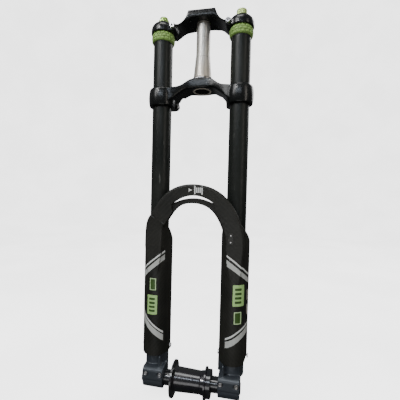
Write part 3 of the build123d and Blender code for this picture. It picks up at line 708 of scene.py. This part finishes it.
def film(name, outlines, material, proud=FILM_PROUD, cuts=None):
    """Thin printed film laid on the guard: closed outlines in front view (mm), each a list of x, z."""
    bm = bmesh.new()
    for outline in outlines:
        bm.faces.new([bm.verts.new((x * MM, 0, z * MM)) for x, z in outline])
    left = min(v.co.x for v in bm.verts)
    right = max(v.co.x for v in bm.verts)
    fine = [left + FILM_STEP * k for k in range(1, int((right - left) / FILM_STEP))]
    for x in list(leg_cuts() if cuts is None else cuts) + fine:
        bmesh.ops.bisect_plane(bm, geom=bm.verts[:] + bm.edges[:] + bm.faces[:], dist=1e-7,
                               plane_co=(x, 0, 0), plane_no=(1, 0, 0))
    low = min(v.co.z for v in bm.verts)
    high = max(v.co.z for v in bm.verts)
    n = max(1, int((high - low) / FILM_ROW))
    for k in range(1, n):
        bmesh.ops.bisect_plane(bm, geom=bm.verts[:] + bm.edges[:] + bm.faces[:], dist=1e-7,
                               plane_co=(0, 0, low + (high - low) * k / n), plane_no=(0, 0, 1))
    bmesh.ops.triangulate(bm, faces=bm.faces)
    back = {}
    for v in list(bm.verts):
        hit, normal = SURFACE.ray_cast(Vector((v.co.x, -0.12, v.co.z)), Vector((0, 1, 0)))[:2]
        if normal.y > 0:
            normal = -normal
        back[v] = bm.verts.new(hit - normal * FILM_SINK)
        v.co = hit + normal * proud
    faces = list(bm.faces)
    rims = [e for e in bm.edges if len(e.link_faces) == 1]
    for face in faces:
        bm.faces.new([back[v] for v in reversed(face.verts)])
    for edge in rims:
        a, b = edge.verts
        bm.faces.new((a, b, back[b], back[a]))
    return make_piece(name, bm, material, "lowers", 50)


def box_outline(x0, x1, z0, z1, corner):
    """Rectangle with rounded corners (mm)."""
    points = []
    for cx, cz, start in ((x1 - corner, z1 - corner, 0), (x0 + corner, z1 - corner, 90),
                          (x0 + corner, z0 + corner, 180), (x1 - corner, z0 + corner, 270)):
        for k in range(5):
            a = math.radians(start + 22.5 * k)
            points.append((cx + corner * math.cos(a), cz + corner * math.sin(a)))
    return points


def frame_bars(x0, x1, z0, z1, w):
    """Four bars of a rectangular outline, as separate outlines that meet end to end."""
    return [
        [(x0, z0), (x0 + w, z0), (x0 + w, z1), (x0, z1)], [(x1 - w, z0), (x1, z0), (x1, z1), (x1 - w, z1)],
        [(x0 + w, z1 - w), (x1 - w, z1 - w), (x1 - w, z1), (x0 + w, z1)],
        [(x0 + w, z0), (x1 - w, z0), (x1 - w, z0 + w), (x0 + w, z0 + w)]]


def build_graphics():
    """Plain stripes and panels; nothing here is lettering or a mark."""
    thin = smooth_edge([(66, -348.5), (84, -361.5), (97, -373), (107.2, -387)])
    film("stripe_upper_air", [ribbon(thin, [(x, z - 3.9) for x, z in thin])], white_print)
    wide = smooth_edge([(66, -358), (88, -374), (100, -386), (107.4, -397)])
    film("band_upper_air", [ribbon(wide, [(x, z - 12.2 + (x - 66) * 0.07) for x, z in wide])], silver_print)
    thin = smooth_edge([(-59.5, -350), (-74.4, -362), (-92, -377), (-106.5, -392)])
    film("stripe_upper_damper", [ribbon(thin, [(x, z - 4) for x, z in thin])], white_print)
    wide = smooth_edge([(-59.5, -358), (-74, -370), (-93, -387), (-106.5, -402)])
    film("band_upper_damper", [ribbon(wide, [(x, z - 10.8) for x, z in wide])], silver_print)

    thin = smooth_edge([(66.6, -510), (78, -502.5), (91, -493), (101, -486), (107.2, -480.5)])
    film("stripe_lower_air", [ribbon(thin, [(x, z - 4) for x, z in thin])], white_print)
    wide = smooth_edge([(66.8, -517), (80, -509.5), (91, -501.5), (101, -493.5), (107.3, -488)])
    film("band_lower_air", [ribbon(wide, [(x, z - 12.4) for x, z in wide])], silver_print)
    thin = smooth_edge([(-59.9, -514), (-71.8, -502.5), (-84, -491.5), (-95, -481.5), (-106, -466)])
    film("stripe_lower_damper", [ribbon(thin, [(x, z - 4.2) for x, z in thin])], white_print)
    wide = smooth_edge([(-59.8, -521), (-71.6, -509.5), (-84, -498.5), (-95, -488), (-106, -472)])
    film("band_lower_damper", [ribbon(wide, [(x, z - 12.8) for x, z in wide])], silver_print)

    film("panel_air", [box_outline(79.4, 100, -446, -405.3, 1.5)], green_print)
    film("panel_damper", [box_outline(-91, -70.5, -478.5, -439.5, 1.5)], green_print)
    film("panel_air_inset",
         [box_outline(83.5, 95.5, z - 4.5, z, 1.2) for z in (-411.5, -419.7, -427.9, -436.1)],
         dark_green_print, UPPER_FILM_PROUD)
    film("panel_damper_inset",
         [box_outline(-87, -74.8, z - 4.3, z, 1.2) for z in (-445, -452.9, -460.8, -468.7)],
         dark_green_print, UPPER_FILM_PROUD)
    film("box_air", [box_outline(82.6, 96, -480, -456.6, 1.0)], dark_green_print)
    film("box_air_frame", frame_bars(82.6, 96, -480, -456.6, 1.7), pale_green_print, UPPER_FILM_PROUD)
    film("box_damper", [box_outline(-86, -73.3, -429.5, -405.5, 1.0)], dark_green_print)
    film("box_damper_frame", frame_bars(-86, -73.3, -429.5, -405.5, 1.7), pale_green_print, UPPER_FILM_PROUD)

    dashes = [box_outline(105.0, 106.4, z - 20, z, 0.6) for z in (-418, -446)]
    film("side_dashes_air", dashes, pale_print)
    film("side_dashes_damper", [[(-x, z) for x, z in reversed(d)] for d in dashes], pale_print)

    marks = [[(-9.2, -231), (-2.2, -228), (-9.2, -225)]]
    for x, half in ((1.6, 8.0), (5.1, 5.0), (8.6, 5.0), (12.1, 5.0), (15.6, 8.0)):
        marks.append([(x, -228 - half), (x + 2.4, -228 - half), (x + 2.4, -228 + half), (x, -228 + half)])
    film("arch_tick_scale", marks, white_print, cuts=[x * MM for x in range(-60, 61, 2)])
    film("fit_plate", [box_outline(69.2, 77.2, -328.5, -307.8, 1.6)], plate_grey, 0.0008)
    film("fit_plate_pins", [box_outline(72.1, 74.3, z, z + 2.2, 1.05) for z in (-312.4, -325.8)],
         bolt_steel, 0.0014)


# ---------------------------------------------------------------- stage, light, camera

def build_stage():
    """Pale round floor that curves up into a wall on every side, softly self-lit like back-lit paper."""
    floor_z = CAD_BOX[0][2] - FLOOR_GAP
    reach, bend, wall = 3.4, 1.0, 12.0
    profile = [(r, floor_z) for r in (0.5, 1.2, reach - bend)]
    for k in range(1, 13):
        a = math.radians(90 * k / 12)
        profile.append((reach - bend + bend * math.sin(a), floor_z + bend * (1 - math.cos(a))))
    profile.append((reach, floor_z + wall))
    bm = bmesh.new()
    steps = 96
    rings = [[bm.verts.new((r * math.cos(2 * math.pi * k / steps), r * math.sin(2 * math.pi * k / steps), z))
              for k in range(steps)] for r, z in profile]
    bm.faces.new(rings[0])
    for low, high in zip(rings, rings[1:]):
        for k in range(steps):
            n = (k + 1) % steps
            bm.faces.new((low[k], high[k], high[n], low[n]))
    mesh = bpy.data.meshes.new("studio_bowl")
    bm.to_mesh(mesh)
    bm.free()
    mesh.shade_smooth()
    bowl = bpy.data.objects.new("studio_bowl", mesh)
    bpy.context.scene.collection.objects.link(bowl)
    m = Nodes("studio_paper")
    tone = m.mix(m.ramp(m.noise(3, 3), 0.4, 0.6), rgba(0.88, 0.88, 0.88), rgba(0.93, 0.93, 0.93))
    m.colour(tone)
    m.feed(m.shader.inputs["Emission Color"], tone)
    m.roughness(0.9)
    m.set(Emission_Strength=3.2)
    mesh.materials.append(m.material)
    bowl.visible_glossy = False
    bowl.visible_diffuse = False
    bowl.visible_shadow = False


def area_light(name, place, target, size, power, tint=(1, 1, 1)):
    """Soft lamp that the camera doesn't see, turned toward target; power in watts."""
    light = bpy.data.lights.new(name, "AREA")
    light.shape = "RECTANGLE"
    light.size, light.size_y = size
    light.energy = power
    light.color = tint
    lamp = bpy.data.objects.new(name, light)
    lamp.location = place
    lamp.visible_camera = False
    lamp.rotation_euler = (Vector(target) - Vector(place)).to_track_quat("-Z", "Y").to_euler()
    bpy.context.scene.collection.objects.link(lamp)


def build_lights():
    """Dim surroundings that brighten overhead, five soft lamps in front, one behind and one low down."""
    world = bpy.data.worlds.new("studio_world")
    world.use_nodes = True
    tree = world.node_tree
    place = tree.nodes.new("ShaderNodeTexCoord")
    split = tree.nodes.new("ShaderNodeSeparateXYZ")
    sky = tree.nodes.new("ShaderNodeMapRange")
    sky.inputs["From Min"].default_value = -0.35
    sky.inputs["From Max"].default_value = 0.5
    sky.inputs["To Min"].default_value = 0.035
    sky.inputs["To Max"].default_value = 0.20
    tree.links.new(place.outputs["Generated"], split.inputs[0])
    tree.links.new(split.outputs[2], sky.inputs["Value"])
    tree.links.new(sky.outputs[0], tree.nodes["Background"].inputs[1])
    tree.nodes["Background"].inputs[0].default_value = rgba(0.95, 0.97, 1.0)
    bpy.context.scene.world = world
    middle = (0, 0, -0.25)
    area_light("key", (-1.2, -1.3, 1.1), middle, (0.5, 1.2), 15)
    area_light("fill", (1.5, -1.0, 0.3), middle, (0.3, 1.4), 6, (1.0, 0.93, 0.84))
    area_light("sparkle", (-0.55, -1.1, 0.75), (0, 0, 0), (0.12, 0.12), 5)
    area_light("window", (-0.1, -1.25, 0.55), (0, 0, -0.45), (0.9, 0.10), 4, (0.78, 0.87, 1.0))
    area_light("top", (-0.1, -0.5, 1.3), middle, (0.8, 0.6), 9)
    area_light("back_key", (1.1, 1.3, 0.9), middle, (0.5, 1.2), 12)
    area_light("bounce", (0.1, -0.95, -0.6), (0, 0, -0.02), (0.8, 0.4), 2.2)


def build_camera():
    """Eye level with the upper part of the guards, turned a little from the air-spring side."""
    yaw = math.radians(11.1)
    pitch = math.radians(-1.3)
    roll = math.radians(-1.4)
    turn = Matrix.Rotation(yaw, 4, "Z") @ Matrix.Rotation(pitch, 4, "X") @ Matrix.Rotation(roll, 4, "Y")
    camera = bpy.data.objects.new("camera", bpy.data.cameras.new("camera"))
    camera.matrix_world = Matrix.Translation(EYE) @ turn @ Matrix.Rotation(math.pi / 2, 4, "X")
    camera.data.sensor_width = 36.0
    camera.data.lens = LENS_MM
    camera.data.clip_start = 0.01
    bpy.context.scene.collection.objects.link(camera)
    bpy.context.scene.camera = camera


build_camera()
build_stage()
build_lights()
dress_cad_nodes()
SURFACE = guard_surface()
for side in ("damper", "air"):
    bump_ring(side)
low_speed_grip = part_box("low_speed_knob")[1][2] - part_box("high_speed_knob")[1][2] - KNOB_GAP
fluted_knob("high_speed_dial", "high_speed_knob", "high_speed", 20, 0.0006, 1, bore=HIGH_SPEED_BORE_R)
fluted_knob("low_speed_dial", "low_speed_knob", "low_speed", 16, 0.0005, 1, low_speed_grip, LOW_SPEED_STEM_R)
for name in ("rebound", "preload"):
    fluted_knob(name + "_dial", name + "_knob", name, 16, 0.0006, -1, FOOT_GRIP, FOOT_STEM_R)
domed_cap()
foot_lip()
forged("lower_crown_forging", "lower_crown", crown_forged, "upper", 12,
       crown_blend(0.020, 1.0))
forged("top_crown_forging", "top_crown", crown_forged, "upper", 10,
       crown_blend(0.018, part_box("top_crown")[1][2]))
for side in ("damper", "air"):
    forged("dropout_forging_" + side, "dropout_" + side, dropout_forged, "lowers", 10)
build_bolts()
build_graphics()
